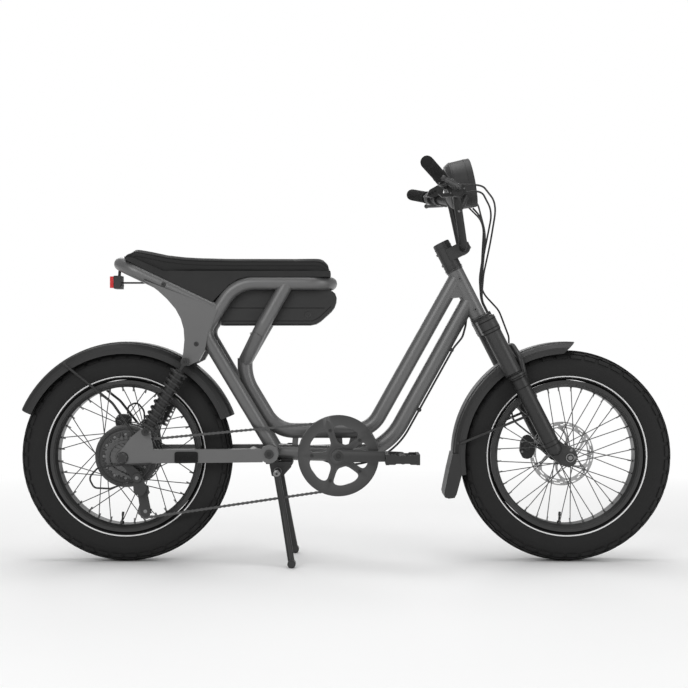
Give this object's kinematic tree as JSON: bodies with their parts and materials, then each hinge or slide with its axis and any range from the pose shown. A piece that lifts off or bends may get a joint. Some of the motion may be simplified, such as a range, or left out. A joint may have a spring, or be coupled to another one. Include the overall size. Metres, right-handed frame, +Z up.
{
  "type": "electric bike",
  "caption": "Fat-tyre electric bike with a low twin-spine frame, long saddle, sprung swingarm, telescopic fork and centre stand.",
  "frame": {"origin": "on the ground, midway between the two wheel centres, in the bike's middle plane", "axes": "+X forward, +Y to the rider's left, +Z up"},
  "size_m": [1.799, 0.7518, 1.1168],
  "materials": {
    "frame_paint": "satin metallic dark grey",
    "black_metal": "matte black",
    "tyre": "moulded rubber",
    "rim_black": "satin black",
    "spoke_steel": "dark steel",
    "disc_steel": "brushed",
    "motor_grey": "satin dark grey",
    "cog_steel": "oiled steel",
    "black_plastic": "fine grained",
    "seat_cover": "matte grained cover",
    "grip_rubber": "ribbed rubber",
    "bolt_steel": "zinc plated",
    "lamp_glass": "clear",
    "tail_red": "clear red",
    "ring_alloy": "dark anodised",
    "chain_steel": "oiled steel"
  },
  "bodies": {
    "frame": {"head_tube": "frame_paint", "upper_spine": "frame_paint", "lower_spine": "frame_paint", "bottom_bracket": "frame_paint", "seat_rail": "frame_paint", "seat_tubes": "frame_paint", "rear_rail": "frame_paint", "braces": "frame_paint", "gusset_plates": "frame_paint", "pivot_shell": "frame_paint", "swingarm": "frame_paint", "swingarm_pivot": "bolt_steel", "rear_axle": "bolt_steel", "shock_dampers": "black_metal", "shock_springs": "black_metal", "seat_pan": "black_plastic", "seat_cushion": "seat_cover", "battery": "black_plastic", "rear_fender": "black_plastic", "taillight_body": "black_plastic", "taillight_lens": "tail_red", "chain": "chain_steel", "derailleur": "black_metal", "rear_caliper": "black_metal", "stand_bracket": "black_metal", "frame_cables": "black_plastic"},
    "steering": {"fork_crown": "black_metal", "fork_stanchions": "black_metal", "fork_lowers": "black_metal", "front_axle": "bolt_steel", "front_fender": "black_plastic", "stem": "black_metal", "handlebar": "black_metal", "grips": "grip_rubber", "brake_levers": "black_metal", "headlight_body": "black_plastic", "headlight_lens": "lamp_glass", "front_caliper": "black_metal", "bar_controls": "black_plastic", "steering_cables": "black_plastic"},
    "front_wheel": {"front_tyre": "tyre", "front_rim": "rim_black", "front_hub": "spoke_steel", "front_rotor": "disc_steel"},
    "rear_wheel": {"rear_tyre": "tyre", "rear_rim": "rim_black", "rear_hub": "motor_grey", "freewheel": "cog_steel", "rear_rotor": "disc_steel"},
    "crank": {"crank_arms": "ring_alloy", "chainring": "ring_alloy"},
    "pedal_right_body": {"pedal_right": "black_plastic"},
    "pedal_left_body": {"pedal_left": "black_plastic"},
    "stand": {"centre_stand": "black_metal"}
  },
  "joints": [
    {"name": "steering_turn", "type": "hinge", "parent": "frame", "child": "steering", "pos_m": [0.36893, 0, 0.67212], "axis": [-0.454, 0, 0.891], "range_deg": [-50, 50]},
    {"name": "front_wheel_spin", "type": "hinge", "parent": "steering", "child": "front_wheel", "pos_m": [0.6075, 0, 0.292], "axis": [0, 1, 0], "continuous": true},
    {"name": "rear_wheel_spin", "type": "hinge", "parent": "frame", "child": "rear_wheel", "pos_m": [-0.6075, 0, 0.292], "axis": [0, 1, 0], "continuous": true},
    {"name": "crank_spin", "type": "hinge", "parent": "frame", "child": "crank", "pos_m": [-0.022, 0, 0.297], "axis": [0, 1, 0], "continuous": true},
    {"name": "pedal_right_spin", "type": "hinge", "parent": "crank", "child": "pedal_right_body", "pos_m": [0.148, -0.17, 0.297], "axis": [0, 1, 0], "continuous": true},
    {"name": "pedal_left_spin", "type": "hinge", "parent": "crank", "child": "pedal_left_body", "pos_m": [-0.192, 0.17, 0.297], "axis": [0, 1, 0], "continuous": true},
    {"name": "stand_fold", "type": "hinge", "parent": "frame", "child": "stand", "pos_m": [-0.1895, 0, 0.25], "axis": [0, 1, 0], "range_deg": [0, 85]}
  ]
}
